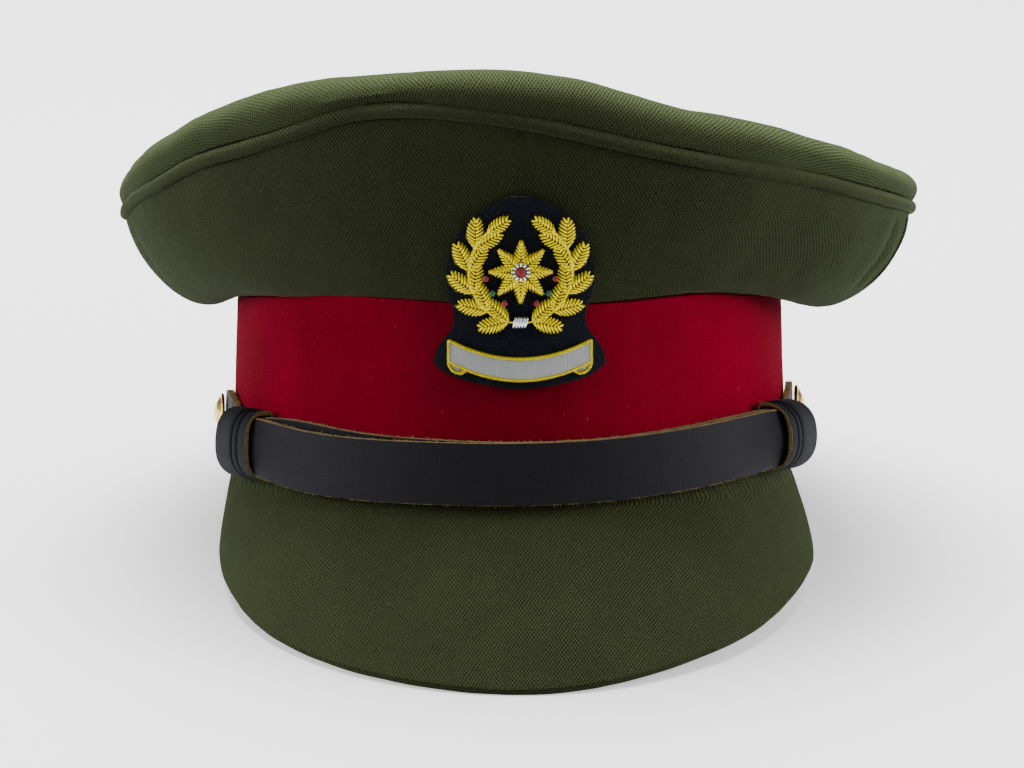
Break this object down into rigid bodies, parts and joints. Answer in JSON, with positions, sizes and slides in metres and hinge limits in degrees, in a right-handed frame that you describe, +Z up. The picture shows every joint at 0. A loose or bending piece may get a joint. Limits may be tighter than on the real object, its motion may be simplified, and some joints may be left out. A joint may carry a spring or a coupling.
{
  "type": "officer's peaked service cap",
  "caption": "Soft khaki peaked cap with a rolled crown, corded seam, red cloth band, leather chin strap with sliding loops, gilt side buttons and an embroidered front badge.",
  "frame": {"origin": "on the surface that the cap stands on, under the middle of its box", "axes": "+Z up from the surface, -Y towards the front where the peak and the badge are, +X to the right as seen from the front"},
  "size_m": [0.2482, 0.3066, 0.1621],
  "materials": {
    "khaki": "matt fine twill wool",
    "khaki_cord": "matt wool over a cord",
    "red_cloth": "matt felted wool",
    "leather": "dark brown, low sheen, raw tan edges",
    "gilt": "polished gilt",
    "felt": "matt navy felt",
    "satin": "pale satin stitch with a gold cord border",
    "bullion": "gold wire embroidery"
  },
  "bodies": {
    "root": {"band": "red_cloth", "quarter_front_left": "khaki", "quarter_front_right": "khaki", "quarter_rear_right": "khaki", "quarter_rear_left": "khaki", "welt_piping": "khaki_cord", "crown_top": "khaki", "peak": "khaki", "strap_top": "leather", "strap_under": "leather", "keeper_left": "leather", "keeper_right": "leather", "button_left": "gilt", "button_right": "gilt", "badge_felt": "felt", "badge_scroll": "satin", "badge_spray_left": "bullion", "badge_spray_right": "bullion", "badge_star": "bullion"}
  },
  "joints": []
}
